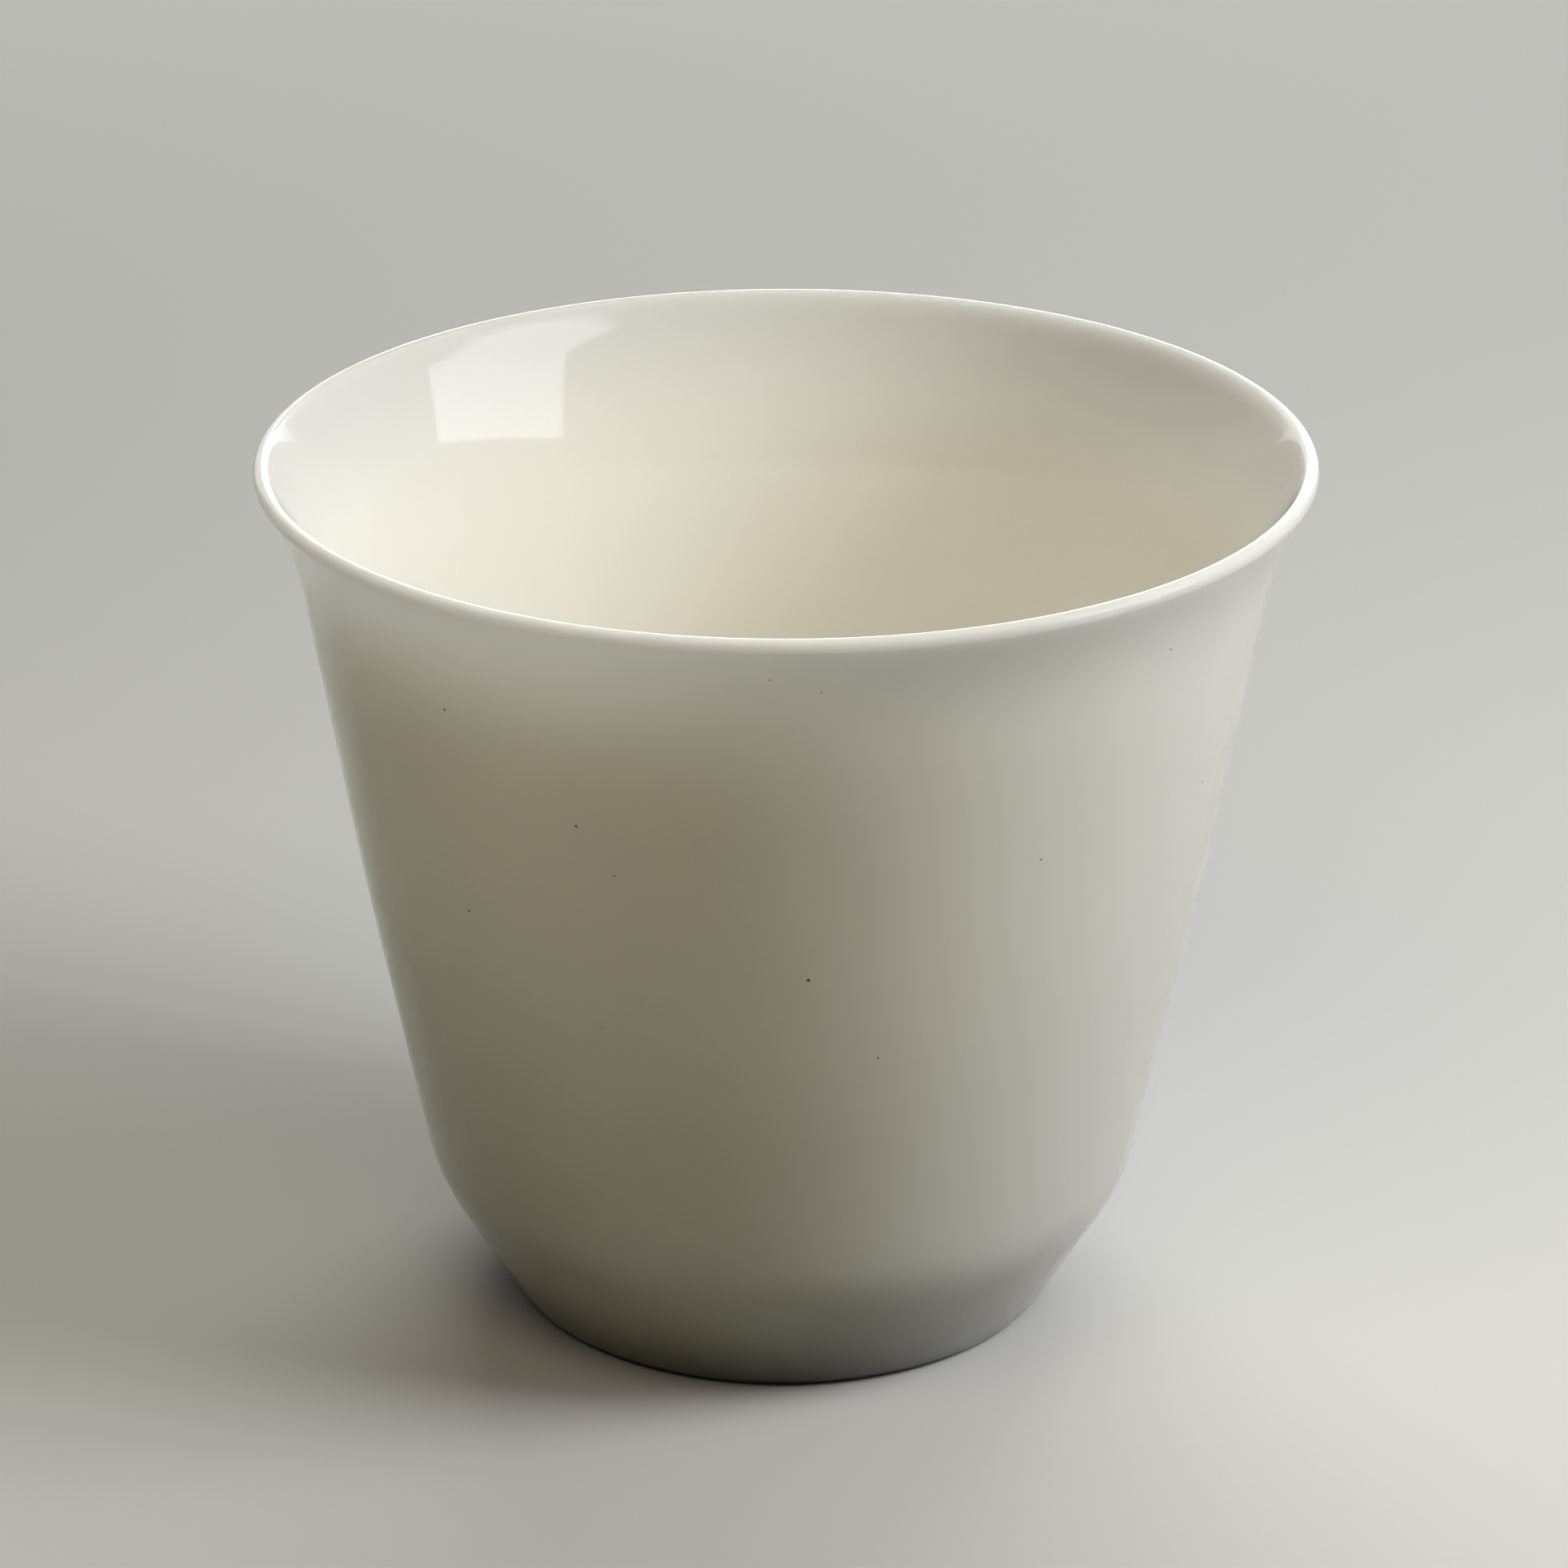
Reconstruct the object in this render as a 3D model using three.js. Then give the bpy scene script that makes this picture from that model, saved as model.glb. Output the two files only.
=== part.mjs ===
// A handleless porcelain teacup with a flared lip, in millimetres, standing on z = 0 with +Z up.
// It is a fired body, the glaze that coats it inside and out, and an island of glaze under the base.
import * as THREE from 'three';

// Driving dimensions of the glazed surface, each a radius or a height above the table
const HEIGHT = 59.9;
const LIP_RADIUS = 35;
const LIP_THICKNESS = 1.1;
const NECK_RADIUS = 32.75;
const FLARE_HEIGHT = 4.1;
const NECK_ROUND = 18;
const BELLY_RADIUS = 28.25;
const BELLY_HEIGHT = 30;
const BELLY_ROUND = 400;
const SHOULDER_RADIUS = 23.95;
const SHOULDER_HEIGHT = 9.3;
const SHOULDER_ROUND = 12;
const FOOT_RADIUS = 18.3;

// Wall, the longer flare inside it that thins it towards the lip, floor and underside
const WALL = 2.55;
const INNER_FLARE_HEIGHT = 7;
const INNER_FLARE_ROUND = 38;
const FLOOR = 3;
const INNER_ROUND = 7.5;
const FOOT_WIDTH = 2.6;
const FOOT_EDGE = 0.4;
const RECESS_DEPTH = 2;
const RECESS_DRAFT = 0.6;
const RECESS_ROUND = 1.5;

// Glaze coat, and how far above the table it is wiped off
const GLAZE = 0.25;
const GLAZE_STOP = 0.5;

// Facets: steps round the axis, along a round, along a soft bend or a small edge, and over the lip
const SEGMENTS = 48;
const ROUND_STEPS = 4;
const BEND_STEPS = 2;
const LIP_STEPS = 5;

// The most of a side that its rounds may take together
const ROUND_ROOM = 0.96;

// Finishes of the wiped porcelain and of the glaze
const BARE_FINISH = { color: 0xe9e3d2, roughness: 0.75, metalness: 0 };
const GLAZE_FINISH = { color: 0xe6e1cf, roughness: 0.08, metalness: 0 };

const lipRound = LIP_THICKNESS / 2;
const floorTop = RECESS_DEPTH + FLOOR;

const point = (radius, height) => new THREE.Vector2(radius, height);

// The line from a to b moved sideways, to its left where the distance is positive
function movedLine(a, b, distance) {
  const along = b.clone().sub(a).normalize();
  const shift = point(-along.y, along.x).multiplyScalar(distance);
  return [a.clone().add(shift), b.clone().add(shift)];
}

// Where a line through two points reaches a height
function atHeight([a, b], height) {
  return a.clone().lerp(b, (height - a.y) / (b.y - a.y));
}

// The point where a line from outside touches a circle, on its left (+1) or right (-1)
function touchPoint(from, centre, radius, side) {
  const away = from.clone().sub(centre);
  const angle = away.angle() + side * Math.acos(radius / away.length());
  return point(Math.cos(angle), Math.sin(angle)).multiplyScalar(radius).add(centre);
}

// The rounds of a chain of corners, each tangent to its two sides and no longer than they allow:
// a round has a side to itself, or half of one that ends in another round
function addRounds(path, corners) {
  const share = ({ round }) => (round ? ROUND_ROOM / 2 : ROUND_ROOM);
  corners.slice(1, -1).forEach(({ at, round, steps }, i) => {
    const before = corners[i].at.clone().sub(at);
    const after = corners[i + 2].at.clone().sub(at);
    const room = Math.min(share(corners[i]) * before.length(), share(corners[i + 2]) * after.length());
    before.normalize();
    after.normalize();
    const half = Math.acos(THREE.MathUtils.clamp(before.dot(after), -1, 1)) / 2;
    const radius = Math.min(round, room * Math.tan(half));
    const tangent = radius / Math.tan(half);
    const centre = before.clone().add(after).normalize().multiplyScalar(radius / Math.sin(half)).add(at);
    const start = before.multiplyScalar(tangent).add(at).sub(centre);
    const end = after.multiplyScalar(tangent).add(at).sub(centre);
    const arc = new THREE.EllipseCurve(
      centre.x, centre.y, radius, radius, start.angle(), end.angle(), start.cross(end) < 0,
    );
    path.push({ curve: arc, steps });
  });
}

// Points of a chain of arcs, each with the direction in which the surface faces
function surface(start, path, end) {
  const rows = path.flatMap(({ curve, steps }) => Array.from({ length: steps + 1 }, (_, i) => {
    const along = curve.getTangent(i / steps);
    return { at: curve.getPoint(i / steps), facing: point(-along.y, along.x) };
  }));
  rows.unshift({ at: start, facing: rows[0].facing });
  rows.push({ at: end, facing: rows.at(-1).facing });
  return rows;
}

const skinPoints = (rows) => rows.map(({ at }) => at);

// The face between glaze and body: the glazed surface sunk by the glaze thickness
const bodyPoints = (rows) => rows.map(({ at, facing }) => {
  const sunk = at.clone().addScaledVector(facing, -GLAZE);
  return at.x === 0 ? sunk.setX(0) : sunk;
});

// The glazed surface: from the middle of the floor up the inside, over the lip, down to the foot
function cupSurface() {
  const neck = point(NECK_RADIUS, HEIGHT - FLARE_HEIGHT);
  const belly = point(BELLY_RADIUS, BELLY_HEIGHT);
  const shoulder = point(SHOULDER_RADIUS, SHOULDER_HEIGHT);
  const foot = point(FOOT_RADIUS, 0);
  const lip = point(LIP_RADIUS - lipRound, HEIGHT - lipRound);

  const floorCorner = atHeight(movedLine(shoulder, belly, WALL), floorTop);
  const innerBelly = atHeight(movedLine(shoulder, belly, WALL), BELLY_HEIGHT);
  const innerNeck = atHeight(movedLine(belly, neck, WALL), HEIGHT - INNER_FLARE_HEIGHT);
  const lipInside = touchPoint(innerNeck, lip, lipRound, -1);
  const lipOutside = touchPoint(neck, lip, lipRound, 1);
  const start = point(0, floorTop);
  const end = atHeight([foot, shoulder], GLAZE_STOP);

  const path = [];
  addRounds(path, [
    { at: start },
    { at: floorCorner, round: INNER_ROUND, steps: ROUND_STEPS + BEND_STEPS },
    { at: innerBelly, round: BELLY_ROUND, steps: BEND_STEPS },
    { at: innerNeck, round: INNER_FLARE_ROUND, steps: ROUND_STEPS },
    { at: lipInside },
  ]);
  path.push({
    curve: new THREE.EllipseCurve(
      lip.x, lip.y, lipRound, lipRound,
      lipInside.clone().sub(lip).angle(), lipOutside.clone().sub(lip).angle(), true,
    ),
    steps: LIP_STEPS,
  });
  addRounds(path, [
    { at: lipOutside },
    { at: neck, round: NECK_ROUND, steps: ROUND_STEPS },
    { at: belly, round: BELLY_ROUND, steps: BEND_STEPS },
    { at: shoulder, round: SHOULDER_ROUND, steps: ROUND_STEPS },
    { at: end },
  ]);
  return surface(start, path, end);
}

// The underside's glazed surface: from the wiped foot ring up into the recess and to its middle
function baseSurface() {
  const ringInside = point(FOOT_RADIUS - FOOT_WIDTH, 0);
  const corner = point(ringInside.x - RECESS_DRAFT, RECESS_DEPTH);
  const start = atHeight([ringInside, corner], GLAZE_STOP);
  const end = point(0, RECESS_DEPTH);
  const path = [];
  addRounds(path, [
    { at: start },
    { at: corner, round: RECESS_ROUND, steps: ROUND_STEPS },
    { at: end },
  ]);
  return surface(start, path, end);
}

// The bare foot ring between the two glazes, with both edges softened where it meets the table
function footRing(outer, inner) {
  const last = outer.at(-1);
  const first = inner[0];
  const outerCorner = atHeight([outer.at(-2), last], 0);
  const innerCorner = atHeight([first, inner[1]], 0);
  const path = [];
  addRounds(path, [
    { at: last },
    { at: outerCorner, round: FOOT_EDGE, steps: BEND_STEPS },
    { at: innerCorner, round: FOOT_EDGE, steps: BEND_STEPS },
    { at: first },
  ]);
  return skinPoints(surface(last, path, first)).slice(1, -1);
}

// A solid turned about +Z from a profile that runs from axis to axis with the solid on its right
function turned(name, profile, finish) {
  const geometry = new THREE.LatheGeometry(profile.toReversed(), SEGMENTS).rotateX(Math.PI / 2);
  const mesh = new THREE.Mesh(geometry, new THREE.MeshStandardMaterial(finish));
  mesh.name = name;
  return mesh;
}

const cup = cupSurface();
const base = baseSurface();
const cupBody = bodyPoints(cup);
const baseBody = bodyPoints(base);
const bodyProfile = [...cupBody, ...footRing(cupBody, baseBody), ...baseBody];
const coatProfile = [...skinPoints(cup), ...cupBody.toReversed()];
const baseProfile = [...baseBody.toReversed(), ...skinPoints(base)];

const teacup = new THREE.Group();
teacup.add(turned('porcelain_body', bodyProfile, BARE_FINISH));
teacup.add(turned('glaze_coat', coatProfile, GLAZE_FINISH));
teacup.add(turned('base_glaze', baseProfile, GLAZE_FINISH));

export default teacup;
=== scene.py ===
from math import acos, atan2, ceil, cos, pi, radians, sin, tan

import bpy
from mathutils import Matrix, Vector


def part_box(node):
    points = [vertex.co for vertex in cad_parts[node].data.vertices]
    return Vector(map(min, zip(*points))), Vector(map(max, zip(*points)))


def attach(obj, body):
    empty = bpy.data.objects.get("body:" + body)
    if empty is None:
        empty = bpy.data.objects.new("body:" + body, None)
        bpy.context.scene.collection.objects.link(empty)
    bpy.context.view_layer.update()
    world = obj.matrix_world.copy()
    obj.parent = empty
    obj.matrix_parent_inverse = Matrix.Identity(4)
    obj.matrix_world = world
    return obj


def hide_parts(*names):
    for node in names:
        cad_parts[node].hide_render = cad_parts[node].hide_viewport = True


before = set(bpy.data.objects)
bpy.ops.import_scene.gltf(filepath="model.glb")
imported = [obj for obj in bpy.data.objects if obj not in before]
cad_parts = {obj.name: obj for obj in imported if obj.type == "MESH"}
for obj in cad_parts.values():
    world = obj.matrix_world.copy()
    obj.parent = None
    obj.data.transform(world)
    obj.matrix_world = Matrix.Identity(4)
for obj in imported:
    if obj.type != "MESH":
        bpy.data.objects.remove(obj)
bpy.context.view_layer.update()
mm = 0.001
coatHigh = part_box("glaze_coat")[1]
print("frame loaded:", ", ".join(sorted(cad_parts)))


# the cup's turned outline, radii and heights in mm; lip and top come from the frame
cupShape = {
    "lipRadius": coatHigh.x / mm,
    "height": coatHigh.z / mm,
    "lipThickness": 1.1,
    "neckRadius": 32.75,
    "flareHeight": 4.1,
    "neckRound": 18,
    "bellyRadius": 28.25,
    "bellyHeight": 30,
    "bellyRound": 400,
    "shoulderRadius": 23.95,
    "shoulderHeight": 9.3,
    "shoulderRound": 12,
    "footRadius": 18.3,
    "wall": 2.55,
    "innerFlareHeight": 7,
    "innerFlareRound": 38,
    "floor": 3,
    "innerRound": 7.5,
    "footWidth": 2.6,
    "footEdge": 0.4,
    "recessDepth": 2,
    "recessDraft": 0.6,
    "recessRound": 1.5,
    "glaze": 0.25,
    "glazeStop": 0.5,
    "roundRoom": 0.96,    # the most of a side that its rounds may take together
}

# what hand finishing leaves: a lip a hair out of level and out of round, and a soft unevenness
handwork = {
    "segments": 192,      # steps round the axis
    "rowSpacing": 1.5,    # mm between rows on a straight stretch
    "arcStep": 5,         # degrees between rows on a round
    "arcRows": 4,         # the fewest steps on a round
    "onAxis": 1e-6,       # m, points closer to the axis than this stay on it
    "seamGap": 1e-7,      # m, points closer together than this become one
    "edgeAngle": 50,      # degrees, folds sharper than this stay crisp
    "lipTilt": 0.0075,    # rise of the lip per mm towards +X
    "oval": 0.0025,       # share of the radius, two lobes
    "wobble": 0.06,       # mm, soft unevenness of the wall
    "wobbleSize": 22,     # mm between its swells
}


def movedLine(a, b, distance):
    along = (b - a).normalized()
    shift = Vector((-along.y, along.x)) * distance
    return a + shift, b + shift


def atHeight(line, height):
    a, b = line
    return a.lerp(b, (height - a.y) / (b.y - a.y))


def touchPoint(start, centre, radius, side):
    # where a line from a point outside touches a circle
    away = start - centre
    angle = atan2(away.y, away.x) + side * acos(radius / away.length)
    return centre + radius * Vector((cos(angle), sin(angle)))


def addArc(rows, centre, radius, startAngle, turn):
    steps = max(handwork["arcRows"], ceil(abs(turn) / radians(handwork["arcStep"])))
    side = 1 if turn < 0 else -1     # the surface faces left of the way it runs
    for i in range(steps + 1):
        angle = startAngle + turn * i / steps
        out = Vector((cos(angle), sin(angle)))
        rows.append((centre + radius * out, side * out))


def addLine(rows, end):
    # rows between the last one and a point, the point left out
    start, facing = rows[-1]
    count = int((end - start).length / handwork["rowSpacing"])
    rows.extend((start.lerp(end, i / (count + 1)), facing) for i in range(1, count + 1))


def addCorners(rows, corners):
    # straight runs with each inner corner rounded, tangent to both sides
    room = lambda side, farRound: side.length * cupShape["roundRoom"] / (2 if farRound else 1)
    for (a, roundA), (b, roundB), (c, roundC) in zip(corners, corners[1:], corners[2:]):
        before = (a - b).normalized()
        after = (c - b).normalized()
        half = acos(max(-1, min(1, before.dot(after)))) / 2
        radius = min(roundB, min(room(a - b, roundA), room(c - b, roundC)) * tan(half))
        centre = b + (before + after).normalized() * radius / sin(half)
        start = b + before * radius / tan(half) - centre
        end = b + after * radius / tan(half) - centre
        turn = atan2(start.x * end.y - start.y * end.x, start.dot(end))
        if rows:
            addLine(rows, centre + start)
        addArc(rows, centre, radius, atan2(start.y, start.x), turn)


def glazedSurface(s):
    # from the middle of the floor, up the inside, over the lip and down to the wiped foot
    lipRound = s["lipThickness"] / 2
    neck = Vector((s["neckRadius"], s["height"] - s["flareHeight"]))
    belly = Vector((s["bellyRadius"], s["bellyHeight"]))
    shoulder = Vector((s["shoulderRadius"], s["shoulderHeight"]))
    foot = Vector((s["footRadius"], 0))
    lip = Vector((s["lipRadius"] - lipRound, s["height"] - lipRound))
    floorTop = s["recessDepth"] + s["floor"]

    innerWall = movedLine(shoulder, belly, s["wall"])
    innerNeck = atHeight(movedLine(belly, neck, s["wall"]), s["height"] - s["innerFlareHeight"])
    lipInside = touchPoint(innerNeck, lip, lipRound, -1)
    lipOutside = touchPoint(neck, lip, lipRound, 1)
    start = Vector((0, floorTop))
    end = atHeight((foot, shoulder), s["glazeStop"])

    rows = [(start, Vector((0, 1)))]
    addCorners(rows, [
        (start, 0),
        (atHeight(innerWall, floorTop), s["innerRound"]),
        (atHeight(innerWall, s["bellyHeight"]), s["bellyRound"]),
        (innerNeck, s["innerFlareRound"]),
        (lipInside, 0),
    ])
    fromAngle = atan2(lipInside.y - lip.y, lipInside.x - lip.x)
    toAngle = atan2(lipOutside.y - lip.y, lipOutside.x - lip.x)
    addArc(rows, lip, lipRound, fromAngle, toAngle - fromAngle)
    lipRow = len(rows)
    addCorners(rows, [
        (lipOutside, 0),
        (neck, s["neckRound"]),
        (belly, s["bellyRound"]),
        (shoulder, s["shoulderRound"]),
        (end, 0),
    ])
    addLine(rows, end)
    rows.append((end, rows[-1][1]))
    return rows, lipRow


def recessSurface(s):
    # from the wiped foot ring up into the recess and to its middle
    ringInside = Vector((s["footRadius"] - s["footWidth"], 0))
    corner = Vector((ringInside.x - s["recessDraft"], s["recessDepth"]))
    start = atHeight((ringInside, corner), s["glazeStop"])
    end = Vector((0, s["recessDepth"]))
    up = (corner - start).normalized()
    rows = [(start, Vector((-up.y, up.x)))]
    addCorners(rows, [(start, 0), (corner, s["recessRound"]), (end, 0)])
    addLine(rows, end)
    rows.append((end, rows[-1][1]))
    return rows


def sunk(rows, depth):
    # the same surface under the glaze, kept on the axis where it starts or ends there
    under = [at - facing * depth for at, facing in rows]
    return [Vector((0 if at.x == 0 else p.x, p.y)) for p, (at, _) in zip(under, rows)]


def bareRing(outer, inner, edge):
    # the foot ring between the two glazes, its edges softened where they meet the table
    rows = []
    addCorners(rows, [
        (outer[-1], 0),
        (atHeight((outer[-2], outer[-1]), 0), edge),
        (atHeight((inner[0], inner[1]), 0), edge),
        (inner[0], 0),
    ])
    return [at for at, _ in rows]


def rolledEdge(skinEnd, bodyEnd, steps=4):
    # the glaze's wiped edge, rounded down to the body
    radius = skinEnd - bodyEnd
    ahead = Vector((radius.y, -radius.x))
    turns = [pi / 2 * i / steps for i in range(1, steps + 1)]
    return [bodyEnd + radius * cos(turn) + ahead * sin(turn) for turn in turns]


def socket(group, name, kind, inOut="INPUT", default=None):
    made = group.interface.new_socket(name=name, in_out=inOut, socket_type="NodeSocket" + kind)
    if default is not None:
        made.default_value = default
    return made


def nodeAdder(tree):
    # add(type, settings, inputs): a node, its properties, and its inputs by name or by place (i0, i1)
    def add(kind, settings=None, **inputs):
        node = tree.nodes.new(kind)
        for name, value in (settings or {}).items():
            setattr(node, name, value)
        for name, value in inputs.items():
            byPlace = name[0] == "i" and name[1:].isdigit()
            target = node.inputs[int(name[1:])] if byPlace else node.inputs[name]
            if isinstance(value, bpy.types.NodeSocket):
                tree.links.new(value, target)
            else:
                target.default_value = value
        return node
    return add


def mathAdder(add):
    def math(operation, a, b=0.0):
        return add("ShaderNodeMath", {"operation": operation}, i0=a, i1=b).outputs[0]
    return math


def turningTree():
    # turns the outline that the object holds about Z, with the unevenness of hand finishing
    tree = bpy.data.node_groups.new("turnedOutline", "GeometryNodeTree")
    socket(tree, "Outline", "Geometry")
    socket(tree, "Segments", "Int")
    for name in ["Height", "Lip Tilt", "Oval", "Wobble", "Wobble Size"]:
        socket(tree, name, "Float")
    socket(tree, "Finish", "Material")
    socket(tree, "Turned", "Geometry", "OUTPUT")
    add = nodeAdder(tree)
    math = mathAdder(add)
    given = add("NodeGroupInput").outputs

    # one grid column for each step round the axis, one row for each outline point
    rows = add("GeometryNodeAttributeDomainSize", Geometry=given["Outline"]).outputs["Point Count"]
    grid = add("GeometryNodeMeshGrid", i2=math("ADD", given["Segments"], 1.0), i3=rows)
    index = add("GeometryNodeInputIndex").outputs[0]
    row = math("FLOORED_MODULO", index, rows)
    column = math("FLOOR", math("DIVIDE", math("ADD", index, 0.5), rows))
    place = add("GeometryNodeInputPosition").outputs[0]
    point = add("GeometryNodeSampleIndex", {"data_type": "FLOAT_VECTOR", "domain": "POINT"},
                Geometry=given["Outline"], Value=place, Index=row).outputs[0]
    outline = add("ShaderNodeSeparateXYZ", i0=point).outputs
    radius, level = outline["X"], outline["Z"]
    angle = math("MULTIPLY", math("DIVIDE", column, given["Segments"]), 2 * pi)
    east, north = math("COSINE", angle), math("SINE", angle)

    # two lobes and soft swells, both fading out towards the foot
    rise = math("POWER", math("DIVIDE", math("MAXIMUM", level, 0.0), given["Height"]), 2.0)
    lobes = math("COSINE", math("MULTIPLY", angle, 2.0))
    lobes = math("MULTIPLY", lobes, math("MULTIPLY", rise, given["Oval"]))
    turned = add("ShaderNodeCombineXYZ", X=math("MULTIPLY", radius, east),
                 Y=math("MULTIPLY", radius, north), Z=level).outputs[0]
    swell = add("ShaderNodeTexNoise", {"noise_dimensions": "3D"}, Vector=turned,
                Scale=math("DIVIDE", 1.0, given["Wobble Size"]), Detail=1.0).outputs[0]
    depth = math("MULTIPLY", math("MULTIPLY", rise, given["Wobble"]), 2.0)
    swell = math("MULTIPLY", math("SUBTRACT", swell, 0.5), depth)
    offAxis = math("GREATER_THAN", radius, handwork["onAxis"])
    made = math("ADD", math("MULTIPLY", radius, math("ADD", 1.0, lobes)), math("MULTIPLY", swell, offAxis))
    acrossX = math("MULTIPLY", made, east)
    tilt = math("MULTIPLY", math("MULTIPLY", acrossX, given["Lip Tilt"]), math("POWER", rise, 2.0))
    spot = add("ShaderNodeCombineXYZ", X=acrossX, Y=math("MULTIPLY", made, north),
               Z=math("ADD", level, tilt)).outputs[0]

    moved = add("GeometryNodeSetPosition", Geometry=grid.outputs["Mesh"], Position=spot).outputs[0]
    closed = add("GeometryNodeMergeByDistance", Geometry=moved, Distance=handwork["seamGap"]).outputs[0]
    outward = add("GeometryNodeFlipFaces", Mesh=closed).outputs[0]    # the turned grid faces inward
    smooth = add("GeometryNodeSetShadeSmooth", Geometry=outward).outputs[0]
    whole = add("GeometryNodeRealizeInstances", Geometry=smooth).outputs[0]
    finished = add("GeometryNodeSetMaterial", Geometry=whole, Material=given["Finish"]).outputs[0]
    add("NodeGroupOutput", Turned=finished)
    return tree


def turnedPiece(name, outline, tree, finish):
    # the outline runs from axis to axis or closes on itself, with the solid on its right
    mesh = bpy.data.meshes.new(name + ".outline")
    mesh.from_pydata([(p.x * mm, 0, p.y * mm) for p in outline], [], [])
    former = bpy.data.objects.new(name + ".former", mesh)
    bpy.context.scene.collection.objects.link(former)
    turning = former.modifiers.new("turning", "NODES")
    turning.node_group = tree
    given = {item.name: item.identifier for item in tree.interface.items_tree if item.in_out == "INPUT"}
    turning[given["Segments"]] = handwork["segments"]
    turning[given["Height"]] = cupShape["height"] * mm
    turning[given["Lip Tilt"]] = handwork["lipTilt"]
    turning[given["Oval"]] = handwork["oval"]
    turning[given["Wobble"]] = handwork["wobble"] * mm
    turning[given["Wobble Size"]] = handwork["wobbleSize"] * mm
    turning[given["Finish"]] = finish
    bpy.context.view_layer.update()
    evaluated = former.evaluated_get(bpy.context.evaluated_depsgraph_get())
    piece = bpy.data.objects.new(name, bpy.data.meshes.new_from_object(evaluated))
    piece.data.set_sharp_from_angle(angle=radians(handwork["edgeAngle"]))
    bpy.context.scene.collection.objects.link(piece)
    bpy.data.objects.remove(former)
    print("turned", name, "with", len(piece.data.polygons), "faces")
    return piece


def rippleGroup():
    # the slight orange peel of a fired glaze, as a height
    tree = bpy.data.node_groups.new("glazeRipple", "ShaderNodeTree")
    socket(tree, "Place", "Vector")
    socket(tree, "Broad Size", "Float", default=6 * mm)
    socket(tree, "Fine Size", "Float", default=1.2 * mm)
    socket(tree, "Fine Share", "Float", default=0.2)
    socket(tree, "Height", "Float", "OUTPUT")
    add = nodeAdder(tree)
    math = mathAdder(add)
    given = add("NodeGroupInput").outputs
    swells = [add("ShaderNodeTexNoise", Vector=given["Place"], Scale=math("DIVIDE", 1.0, given[size]),
                  Detail=detail).outputs[0] for size, detail in [("Broad Size", 1.0), ("Fine Size", 2.0)]]
    add("NodeGroupOutput", Height=math("ADD", swells[0], math("MULTIPLY", swells[1], given["Fine Share"])))
    return tree


def speckGroup():
    # sparse round specks, one to a cell
    tree = bpy.data.node_groups.new("scatteredSpecks", "ShaderNodeTree")
    socket(tree, "Place", "Vector")
    socket(tree, "Cell Size", "Float", default=5 * mm)
    socket(tree, "Speck Radius", "Float", default=0.12 * mm)
    socket(tree, "Mask", "Float", "OUTPUT")
    add = nodeAdder(tree)
    math = mathAdder(add)
    given = add("NodeGroupInput").outputs
    cells = add("ShaderNodeTexVoronoi", {"feature": "F1"}, Vector=given["Place"],
                Scale=math("DIVIDE", 1.0, given["Cell Size"]))
    solidShare = 0.5    # of the radius, where the speck is full
    reach = math("DIVIDE", given["Speck Radius"], given["Cell Size"])
    mask = add("ShaderNodeMapRange", {"interpolation_type": "SMOOTHSTEP"}, i0=cells.outputs["Distance"],
               i1=math("MULTIPLY", reach, solidShare), i2=reach, i3=1.0, i4=0.0)
    add("NodeGroupOutput", Mask=mask.outputs[0])
    return tree


def driftGroup():
    # slow change of tone between two colours
    tree = bpy.data.node_groups.new("toneDrift", "ShaderNodeTree")
    socket(tree, "Place", "Vector")
    socket(tree, "Patch Size", "Float", default=30 * mm)
    socket(tree, "First Tone", "Color")
    socket(tree, "Second Tone", "Color")
    socket(tree, "Color", "Color", "OUTPUT")
    add = nodeAdder(tree)
    math = mathAdder(add)
    given = add("NodeGroupInput").outputs
    patches = add("ShaderNodeTexNoise", Vector=given["Place"], Detail=3.0,
                  Scale=math("DIVIDE", 1.0, given["Patch Size"]))
    low, high = 0.3, 0.7    # of the noise, where most of it lies
    share = add("ShaderNodeMapRange", i0=patches.outputs[0], i1=low, i2=high)
    tone = add("ShaderNodeMix", {"data_type": "RGBA"}, i0=share.outputs[0],
               i6=given["First Tone"], i7=given["Second Tone"])
    add("NodeGroupOutput", Color=tone.outputs[2])
    return tree


glazeLook = {
    "ivory": (0.825, 0.812, 0.755, 1),
    "warmIvory": (0.815, 0.797, 0.73, 1),
    "patchSize": 26 * mm,
    "speckTone": (0.16, 0.12, 0.08, 1),
    "speckCell": 7.5 * mm,
    "speckRadius": 0.1 * mm,
    "rippleBroad": 7 * mm,
    "rippleFine": 1.4 * mm,
    "rippleHeight": 0.02 * mm,
    "beadSize": 0.5 * mm,       # fine beading of the glaze where it draws thin on the lip
    "beadShare": 0.6,           # its height beside the ripple's
    "beadDrop": (1.2, 0.5),     # mm below the top where it starts and is full
    "smudgeSpan": (0.35, 0.75),    # of the noise that smudges the gloss
    "roughness": (0.03, 0.07),
    "ior": 1.52,
    "seeThrough": (1.0, 0.98, 0.94),    # how far red, green and blue light wander in the porcelain
    "seeThroughDepth": 4.2 * mm,
}

# the iron specks that show on the front: bearing in degrees from +X, height in mm, radius in mm
frontSpecks = [
    (-86.8, 34.7, 0.16), (-115.0, 44.7, 0.12), (-132.2, 50.8, 0.12), (-133.6, 35.9, 0.11),
    (-57.4, 41.6, 0.1), (-41.9, 54.5, 0.1), (-26.2, 42.0, 0.1), (-110.6, 41.5, 0.08),
    (-91.5, 56.9, 0.08), (-86.1, 55.9, 0.08),
]


def newFinish(name):
    material = bpy.data.materials.new(name)
    material.use_nodes = True
    material.node_tree.nodes.clear()
    return material, nodeAdder(material.node_tree)


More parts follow.
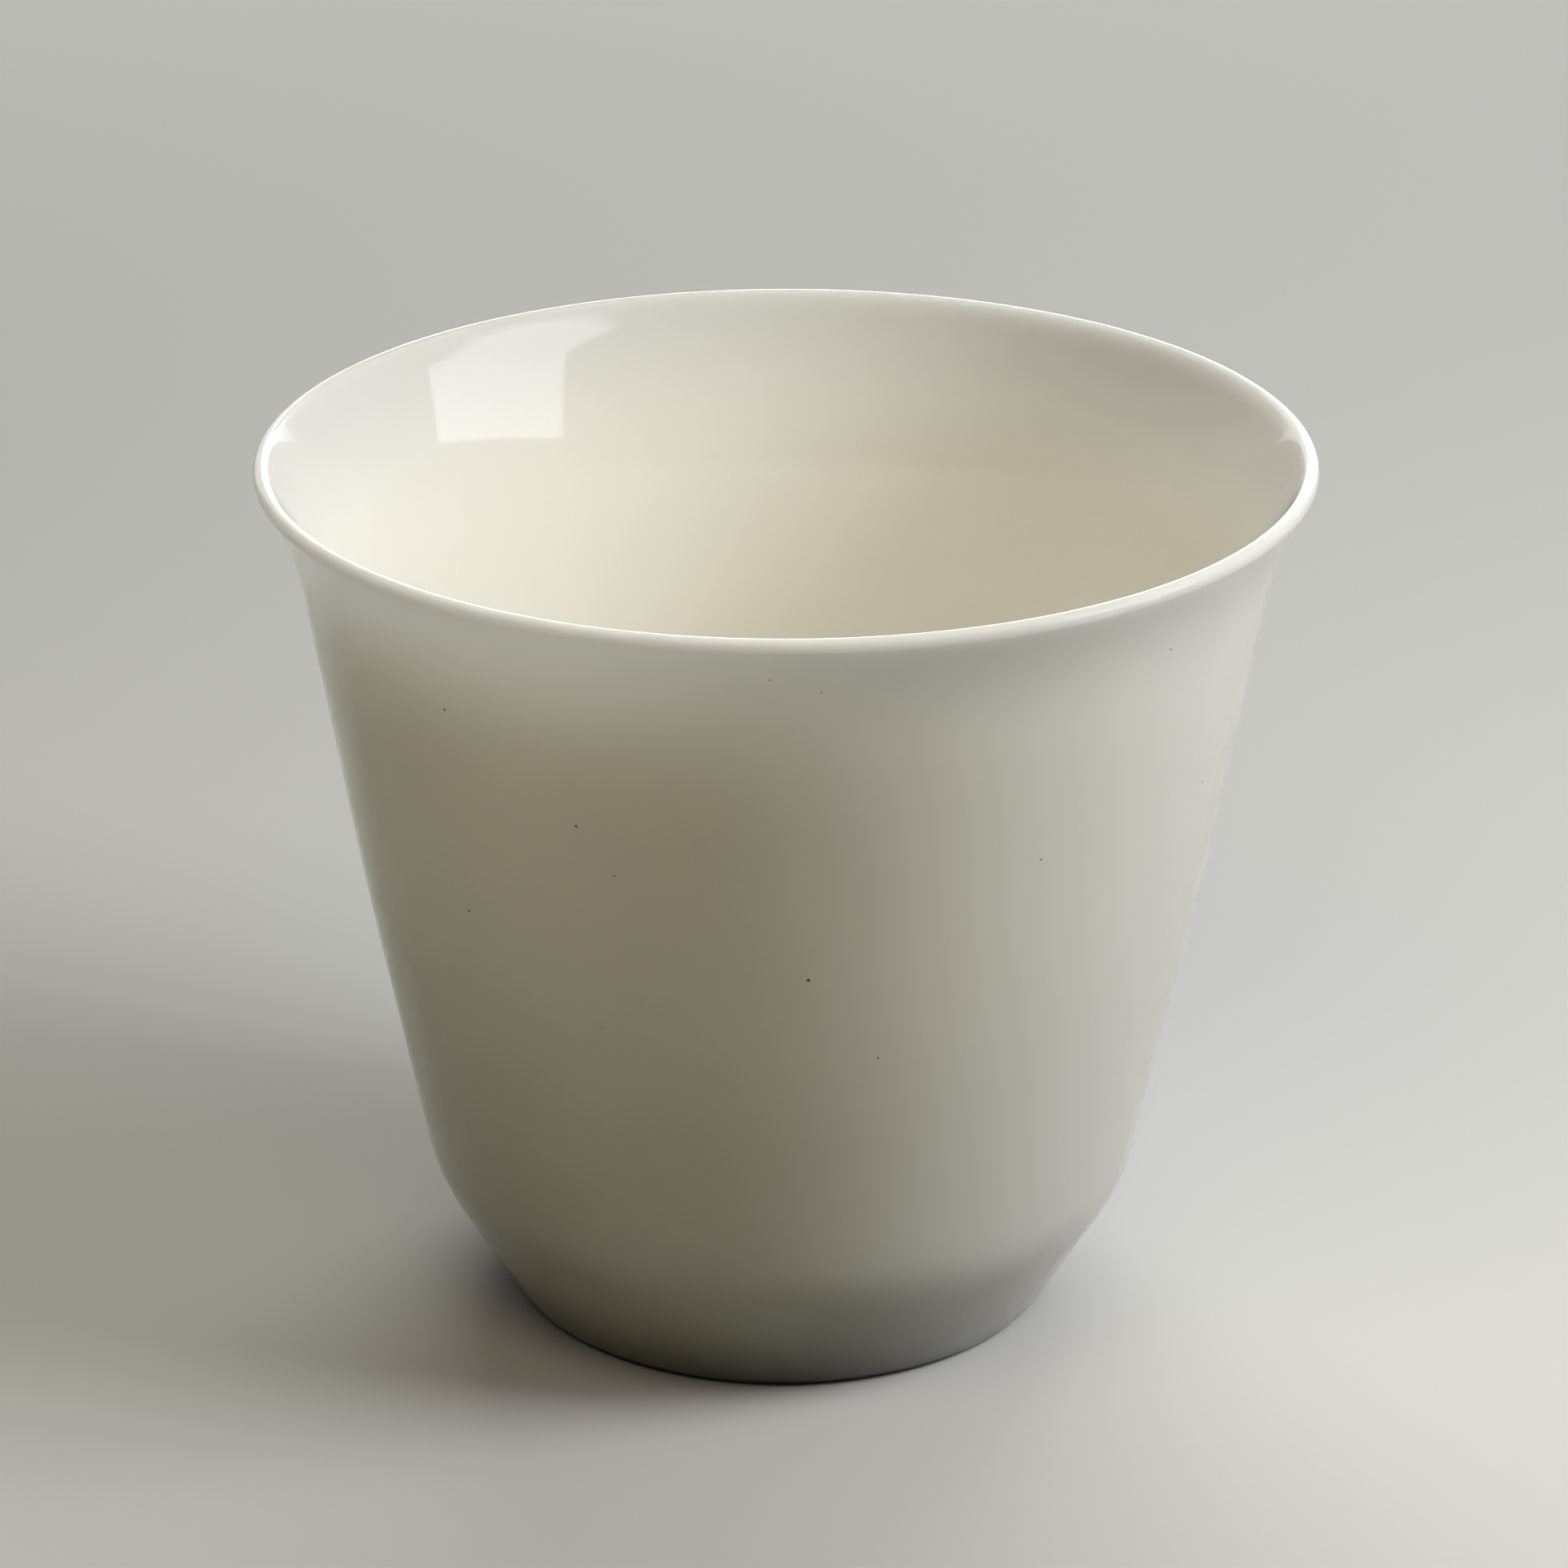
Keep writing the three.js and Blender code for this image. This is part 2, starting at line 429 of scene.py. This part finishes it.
def placedSpecks(add, place, specks, outerWall):
    # marks on the outer wall, measured round it, up it and, less closely, out from the axis
    math = mathAdder(add)
    meanRadius = 30 * mm
    outShare = 0.3
    fade = (0.4, 1.1)    # of a speck's radius, from full to gone
    xyz = add("ShaderNodeSeparateXYZ", i0=place).outputs
    bearing = math("ARCTAN2", xyz["Y"], xyz["X"])
    reach = math("SQRT", math("ADD", math("POWER", xyz["X"], 2.0), math("POWER", xyz["Y"], 2.0)))
    unrolled = add("ShaderNodeCombineXYZ", X=math("MULTIPLY", bearing, meanRadius), Y=xyz["Z"],
                   Z=math("MULTIPLY", reach, outShare)).outputs[0]
    mask = 0.0
    for angle, height, radius in specks:
        wallRadius = next(atHeight(side, height).x for side in zip(outerWall, outerWall[1:])
                          if side[1].y <= height < side[0].y)
        spot = (radians(angle) * meanRadius, height * mm, wallRadius * mm * outShare)
        away = add("ShaderNodeVectorMath", {"operation": "DISTANCE"}, i0=unrolled, i1=spot).outputs["Value"]
        speck = add("ShaderNodeMapRange", {"interpolation_type": "SMOOTHSTEP"}, i0=away,
                    i1=fade[0] * radius * mm, i2=fade[1] * radius * mm, i3=1.0, i4=0.0).outputs[0]
        mask = math("MAXIMUM", speck, mask)
    return mask


def glazeMaterial(name, look, groups, outerWall=None):
    material, add = newFinish(name)
    math = mathAdder(add)
    group = lambda key, **inputs: add("ShaderNodeGroup", {"node_tree": groups[key]}, **inputs).outputs[0]
    place = add("ShaderNodeTexCoord").outputs["Object"]
    tone = group("drift", Place=place, **{"Patch Size": look["patchSize"], "First Tone": look["ivory"],
                                          "Second Tone": look["warmIvory"]})
    specks = group("specks", Place=place, **{"Cell Size": look["speckCell"],
                                             "Speck Radius": look["speckRadius"]})
    if outerWall:
        specks = math("MAXIMUM", specks, placedSpecks(add, place, frontSpecks, outerWall))
    color = add("ShaderNodeMix", {"data_type": "RGBA"}, i0=specks, i6=tone, i7=look["speckTone"])
    ripple = group("ripple", Place=place, **{"Broad Size": look["rippleBroad"],
                                             "Fine Size": look["rippleFine"]})
    if outerWall:
        start, full = [(cupShape["height"] - drop) * mm for drop in look["beadDrop"]]
        level = add("ShaderNodeSeparateXYZ", i0=place).outputs["Z"]
        nearLip = add("ShaderNodeMapRange", i0=level, i1=start, i2=full).outputs[0]
        beads = add("ShaderNodeTexNoise", Vector=place, Scale=1 / look["beadSize"], Detail=1.0).outputs[0]
        ripple = math("ADD", ripple, math("MULTIPLY", math("MULTIPLY", beads, nearLip), look["beadShare"]))
    bump = add("ShaderNodeBump", Height=ripple, Distance=look["rippleHeight"], Strength=1.0)
    smudge = add("ShaderNodeTexNoise", Vector=place, Scale=1 / look["patchSize"], Detail=4.0)
    rough = add("ShaderNodeMapRange", i0=smudge.outputs[0],
                i1=look["smudgeSpan"][0], i2=look["smudgeSpan"][1],
                i3=look["roughness"][0], i4=look["roughness"][1])
    shader = add("ShaderNodeBsdfPrincipled", IOR=look["ior"], **{
        "Base Color": color.outputs[2], "Roughness": rough.outputs[0], "Normal": bump.outputs[0]})
    if outerWall:
        shader.inputs["Subsurface Weight"].default_value = 1
        shader.inputs["Subsurface Radius"].default_value = look["seeThrough"]
        shader.inputs["Subsurface Scale"].default_value = look["seeThroughDepth"]
    add("ShaderNodeOutputMaterial", Surface=shader.outputs[0])
    return material


bareLook = {
    "clay": (0.84, 0.81, 0.73, 1),
    "clayShade": (0.78, 0.74, 0.66, 1),
    "patchSize": 6 * mm,
    "gritTone": (0.3, 0.24, 0.18, 1),
    "gritCell": 1.6 * mm,
    "gritRadius": 0.07 * mm,
    "grainSize": 0.35 * mm,
    "grainHeight": 0.02 * mm,
    "coarseGrain": 1.05 * mm,
    "rubSpan": (0.3, 0.7),    # of the noise that rubs the clay smoother
    "roughness": (0.65, 0.85),
    "ior": 1.5,
}


def bareMaterial(name, look, groups):
    material, add = newFinish(name)
    group = lambda key, **inputs: add("ShaderNodeGroup", {"node_tree": groups[key]}, **inputs).outputs[0]
    place = add("ShaderNodeTexCoord").outputs["Object"]
    tone = group("drift", Place=place, **{"Patch Size": look["patchSize"], "First Tone": look["clay"],
                                          "Second Tone": look["clayShade"]})
    grit = group("specks", Place=place, **{"Cell Size": look["gritCell"],
                                           "Speck Radius": look["gritRadius"]})
    color = add("ShaderNodeMix", {"data_type": "RGBA"}, i0=grit, i6=tone, i7=look["gritTone"])
    grain = group("ripple", Place=place, **{"Broad Size": look["coarseGrain"],
                                            "Fine Size": look["grainSize"], "Fine Share": 1.0})
    bump = add("ShaderNodeBump", Height=grain, Distance=look["grainHeight"], Strength=1.0)
    rub = add("ShaderNodeTexNoise", Vector=place, Scale=1 / look["patchSize"], Detail=3.0)
    rough = add("ShaderNodeMapRange", i0=rub.outputs[0], i1=look["rubSpan"][0], i2=look["rubSpan"][1],
                i3=look["roughness"][0], i4=look["roughness"][1])
    shader = add("ShaderNodeBsdfPrincipled", IOR=look["ior"], **{
        "Base Color": color.outputs[2], "Roughness": rough.outputs[0], "Normal": bump.outputs[0]})
    add("ShaderNodeOutputMaterial", Surface=shader.outputs[0])
    return material


cameraView = {
    "lens": 141.15,          # mm
    "frame": 36,             # mm across
    "nearest": 0.01,         # m, nothing closer to the lens shows
    "lipDistance": 0.4064,   # m from the lens to the middle of the lip
    "elevation": 19.55,      # degrees above the lip's level
    "tiltDown": 3.03,        # degrees that the lens looks below the lip's middle
    "roll": 0.39,            # degrees
}


def placeCamera(v):
    data = bpy.data.cameras.new("viewCamera")
    data.sensor_width = v["frame"]
    data.lens = v["lens"]
    data.clip_start = v["nearest"]
    camera = bpy.data.objects.new("viewCamera", data)
    rise = radians(v["elevation"])
    lipMiddle = Vector((0, 0, (cupShape["height"] - cupShape["lipThickness"] / 2) * mm))
    spot = lipMiddle + v["lipDistance"] * Vector((0, -cos(rise), sin(rise)))
    pitch = Matrix.Rotation(pi / 2 - rise - radians(v["tiltDown"]), 4, "X")
    camera.matrix_world = Matrix.Translation(spot) @ pitch @ Matrix.Rotation(radians(v["roll"]), 4, "Z")
    bpy.context.scene.collection.objects.link(camera)
    bpy.context.scene.camera = camera
    print("camera at", [round(x, 4) for x in spot])


studio = {
    "floorTone": (0.6, 0.6, 0.6, 1),
    "floorBounce": (0.01, 0.01, 0.01, 1),    # its tone for the light that it throws back on the cup
    "floorHalf": 3.0,
    "farFloor": (0.58, 0.57, 0.55, 1),
    "farReach": (0.15, 0.6),    # m from the cup where the lit floor starts and ends fading into it
    "worldTone": (1.0, 0.98, 0.95, 1),
    "worldLight": 0.02,
    "worldShown": 0.6,
    "worldFront": 0.15,            # the darker side of the room, which the inside of the back wall mirrors
    "frontSpan": (-0.8, 0.2),      # of a direction's Y, from that side to the pale one
}

# soft boxes: place in m, the way each faces, size in m, power in W;
# a fill leaves no mirror image in the glaze, and a card lights nothing but that image
softBoxes = {
    "window": {"at": (0.938, -0.127, 0.462), "faces": (-0.766, 0.643, 0), "size": (0.66, 0.3), "roll": 4,
               "power": 1.87, "tone": (0.87, 0.91, 1), "use": "fill"},
    "backCard": {"at": (0.2, 1, 0.24), "faces": (0, -1, 0), "size": (0.7, 0.44),
                 "power": 3, "tone": (0.97, 0.99, 1), "use": "card"},
    "backWall": {"at": (0, 1, 0.35), "faces": (0, -1, 0), "size": (1.3, 0.68),
                 "power": 2.2, "tone": (0.95, 0.98, 1), "use": "both"},
    "backSky": {"at": (0.1, 0.8, 0.75), "faces": (-0.1, -0.8, -0.71), "size": (0.9, 0.5),
                "power": 6.3, "tone": (0.965, 0.975, 0.87), "use": "fill"},
    "rightKey": {"at": (0.85, 0, 0.6), "faces": (-0.85, 0, -0.56), "size": (0.5, 0.4),
                 "power": 1.38, "tone": (0.91, 0.95, 1), "use": "fill"},
    "rightFill": {"at": (0.24, -0.06, 0.23), "faces": (-0.24, 0.06, -0.19), "size": (0.14, 0.12),
                  "power": 0.65, "tone": (1, 1, 0.98), "use": "fill"},
    "frontFill": {"at": (-0.03, -0.15, 0.26), "faces": (0.03, 0.15, -0.22), "size": (0.2, 0.12),
                  "power": 0.16, "tone": (1, 0.86, 0.62), "use": "fill"},
    "leftFill": {"at": (-0.16, -0.12, 0.22), "faces": (0.16, 0.12, -0.18), "size": (0.15, 0.12),
                 "power": 0.02, "tone": (1, 0.86, 0.62), "use": "fill"},
}

# the window as the glaze mirrors it, in m from the middle of its soft box
windowPane = {
    "halfWidth": 0.365,
    "sill": -0.15,
    "head": 0.14,        # where the head starts
    "headRise": 0.2,     # of the head for each m along it
    "tail": 0.21,        # how far the head runs on past the other jamb
    "tailDrop": 0.16,    # from the tail's tip down to that jamb's end
    "shine": (3.0, 3.1, 3.4, 1),
}


def shownShare(add):
    # 1 for the rays that show the floor or the world: seen directly, mirrored or through glass
    math = mathAdder(add)
    path = add("ShaderNodeLightPath").outputs
    return math("MAXIMUM", path["Is Camera Ray"],
                math("MAXIMUM", path["Is Glossy Ray"], path["Is Transmission Ray"]))


def placeFloor():
    half = studio["floorHalf"]
    mesh = bpy.data.meshes.new("studioFloor")
    corners = [(-half, -half, 0), (half, -half, 0), (half, half, 0), (-half, half, 0)]
    mesh.from_pydata(corners, [], [(0, 1, 2, 3)])
    floor = bpy.data.objects.new("studioFloor", mesh)
    bpy.context.scene.collection.objects.link(floor)
    material, add = newFinish("paleFloor")
    tone = add("ShaderNodeMix", {"data_type": "RGBA"}, i0=shownShare(add),
               i6=studio["floorBounce"], i7=studio["floorTone"])
    matt = add("ShaderNodeBsdfDiffuse", Color=tone.outputs[2])
    place = add("ShaderNodeTexCoord").outputs["Object"]
    away = add("ShaderNodeVectorMath", {"operation": "LENGTH"}, i0=place).outputs["Value"]
    far = add("ShaderNodeMapRange", {"interpolation_type": "SMOOTHSTEP"}, i0=away,
              i1=studio["farReach"][0], i2=studio["farReach"][1]).outputs[0]
    glow = add("ShaderNodeEmission", Color=studio["farFloor"])
    shown = mathAdder(add)("MULTIPLY", far, shownShare(add))
    blend = add("ShaderNodeMixShader", i0=shown, i1=matt.outputs[0], i2=glow.outputs[0])
    add("ShaderNodeOutputMaterial", Surface=blend.outputs[0])
    mesh.materials.append(material)


def boxPlace(box):
    aim = Vector(box["faces"]).to_track_quat("-Z", "Y").to_matrix().to_4x4()
    roll = Matrix.Rotation(radians(box.get("roll", 0)), 4, "Z")
    return Matrix.Translation(Vector(box["at"])) @ aim @ roll


def hangPane():
    # seen only as a mirror image, so that it adds no light to its soft box
    half, sill, head = windowPane["halfWidth"], windowPane["sill"], windowPane["head"]
    tip = head + windowPane["headRise"] * (2 * half + windowPane["tail"])
    corners = [(half, sill, 0), (half, head, 0), (-half - windowPane["tail"], tip, 0),
               (-half, tip - windowPane["tailDrop"], 0), (-half, sill, 0)]
    mesh = bpy.data.meshes.new("windowPane")
    mesh.from_pydata(corners, [], [range(len(corners))])
    material, add = newFinish("paneShine")
    shine = add("ShaderNodeEmission", Color=windowPane["shine"])
    add("ShaderNodeOutputMaterial", Surface=shine.outputs[0])
    mesh.materials.append(material)
    pane = bpy.data.objects.new("windowPane", mesh)
    pane.matrix_world = boxPlace(softBoxes["window"])
    pane.visible_camera = False
    pane.visible_diffuse = False
    pane.visible_shadow = False
    bpy.context.scene.collection.objects.link(pane)


def lightStudio():
    scene = bpy.context.scene
    scene.view_settings.view_transform = "Standard"
    world = bpy.data.worlds.new("softStudio")
    scene.world = world
    world.use_nodes = True
    world.node_tree.nodes.clear()
    add = nodeAdder(world.node_tree)
    toBack = add("ShaderNodeSeparateXYZ", i0=add("ShaderNodeTexCoord").outputs["Generated"]).outputs["Y"]
    shown = add("ShaderNodeMapRange", {"interpolation_type": "SMOOTHSTEP"}, i0=toBack,
                i1=studio["frontSpan"][0], i2=studio["frontSpan"][1],
                i3=studio["worldFront"], i4=studio["worldShown"])
    level = add("ShaderNodeMapRange", i0=shownShare(add), i3=studio["worldLight"], i4=shown.outputs[0])
    glow = add("ShaderNodeBackground", Color=studio["worldTone"], Strength=level.outputs[0])
    add("ShaderNodeOutputWorld", Surface=glow.outputs[0])
    for name, box in softBoxes.items():
        lamp = bpy.data.lights.new(name, "AREA")
        lamp.shape = "RECTANGLE"
        lamp.size, lamp.size_y = box["size"]
        lamp.energy = box["power"]
        lamp.color = box["tone"]
        light = bpy.data.objects.new(name, lamp)
        light.matrix_world = boxPlace(box)
        light.visible_camera = False
        light.visible_glossy = box["use"] != "fill"
        light.visible_diffuse = box["use"] != "card"
        scene.collection.objects.link(light)
    print("studio lit by", len(softBoxes), "soft boxes")


placeCamera(cameraView)
placeFloor()
hangPane()
lightStudio()

# outlines: the glazed skin, and the face under it where the porcelain is bare or carries the base glaze
cup, lipRow = glazedSurface(cupShape)
recess = recessSurface(cupShape)
cupUnder = sunk(cup, cupShape["glaze"])
recessUnder = sunk(recess, cupShape["glaze"])
cupSkin = [at for at, _ in cup]
recessSkin = [at for at, _ in recess]
wipedEdge = rolledEdge(cupSkin[-1], cupUnder[-1])
footFace = bareRing(cupUnder, recessUnder, cupShape["footEdge"])

groups = {"ripple": rippleGroup(), "specks": speckGroup(), "drift": driftGroup()}
ivoryGlaze = glazeMaterial("ivoryGlaze", glazeLook, groups, cupSkin[lipRow:])
baseGlaze = glazeMaterial("baseGlaze", glazeLook, groups)
barePorcelain = bareMaterial("barePorcelain", bareLook, groups)
print("finishes made")

# light wanders through the glazed wall as one translucent body, so its piece has the wall's full thickness
tree = turningTree()
for name, outline, finish, node, slot in [
    ("glazedCup", cupSkin + wipedEdge + recessUnder, ivoryGlaze, "glaze_coat", "ivory_glaze"),
    ("bareFootRing", [cupUnder[-1]] + footFace + [recessUnder[0], cupUnder[-1]], barePorcelain,
     "porcelain_body", "bare_porcelain"),
    ("baseGlazeIsland", recessUnder[::-1] + recessSkin, baseGlaze, "base_glaze", "ivory_glaze"),
]:
    piece = turnedPiece(name, outline, tree, finish)
    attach(piece, "root")
    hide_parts(node)
